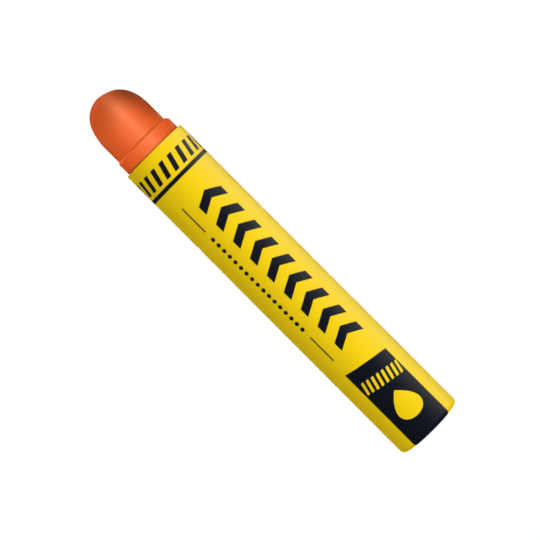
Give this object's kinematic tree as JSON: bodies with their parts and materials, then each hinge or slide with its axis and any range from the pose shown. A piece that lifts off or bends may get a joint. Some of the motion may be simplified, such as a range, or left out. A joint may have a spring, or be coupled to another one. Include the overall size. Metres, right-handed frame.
{
  "type": "solid paint marker",
  "caption": "Solid paint marker: a stick of cast orange paint with a domed nose, held in a rolled yellow paper sleeve whose rear end is curled in and closed by a board disc.",
  "frame": {"origin": "middle of the ring that the marker stands on, at the curled rear end of the sleeve", "axes": "+Z along the marker towards the nose of the paint, -Y out of the middle of the printed front, +Y towards the lap of the paper"},
  "size_m": [0.0195, 0.0196, 0.1197],
  "materials": {
    "paint": "satin",
    "sleeve_paper": "satin",
    "disc_board": "matte",
    "print_ink": "satin"
  },
  "bodies": {
    "root": {"paint_stick": "paint", "paper_tube": "sleeve_paper", "end_disc": "disc_board"}
  },
  "joints": []
}
